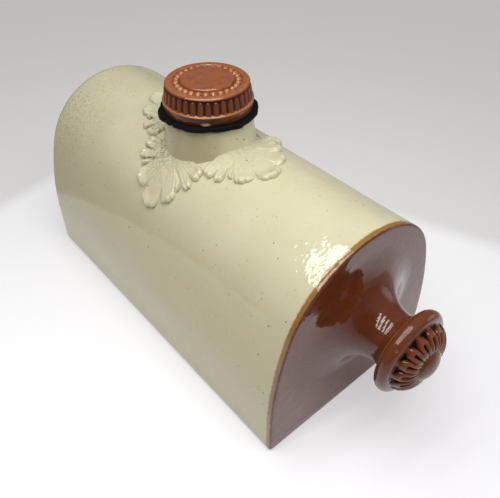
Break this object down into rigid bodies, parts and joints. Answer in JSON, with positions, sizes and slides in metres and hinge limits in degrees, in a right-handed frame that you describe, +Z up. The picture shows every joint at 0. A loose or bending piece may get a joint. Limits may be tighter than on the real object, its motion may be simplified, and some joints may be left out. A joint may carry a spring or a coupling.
{
  "type": "stoneware hot water bottle",
  "caption": "Glazed stoneware hot water bottle: a D-section barrel on a flat base, with a screw stopper on a rubber ring, moulded leaves round its neck and a flared knob handle.",
  "frame": {"origin": "in the plane of the flat base, under the middle of the barrel", "axes": "+X along the barrel towards the knob, +Z up through the crown, +Y across"},
  "size_m": [0.3392, 0.144, 0.1806],
  "materials": {
    "cream_glaze": "glossy buff glaze with fine dark specks",
    "brown_glaze": "very glossy red-brown glaze, thin and tan on the arris",
    "tan_glaze": "glossy orange-brown glaze, breaking lighter on ridges",
    "black_rubber": "matt, old moulded rubber"
  },
  "bodies": {
    "bottle": {"barrel": "cream_glaze", "rear_end": "cream_glaze", "front_end": "brown_glaze", "knob": "brown_glaze", "neck": "cream_glaze", "leaf_front": "cream_glaze", "leaf_rear": "cream_glaze", "leaf_left": "cream_glaze", "leaf_right": "cream_glaze"},
    "seal": {"seal_ring": "black_rubber"},
    "stopper": {"stopper": "tan_glaze"}
  },
  "joints": [
    {"name": "seal_lift", "type": "slide", "parent": "bottle", "child": "seal", "axis": [0, 0, 1], "range_m": [0, 0.0241]},
    {"name": "stopper_turn", "type": "hinge", "parent": "seal", "child": "stopper", "pos_m": [-0.0015, 0, 0.1587], "axis": [0, 0, 1], "range_deg": [0, 1080]}
  ],
  "couplings": [
    {"joint": "seal_lift", "follows": "stopper_turn", "m_per_rad": 0.0012732}
  ]
}
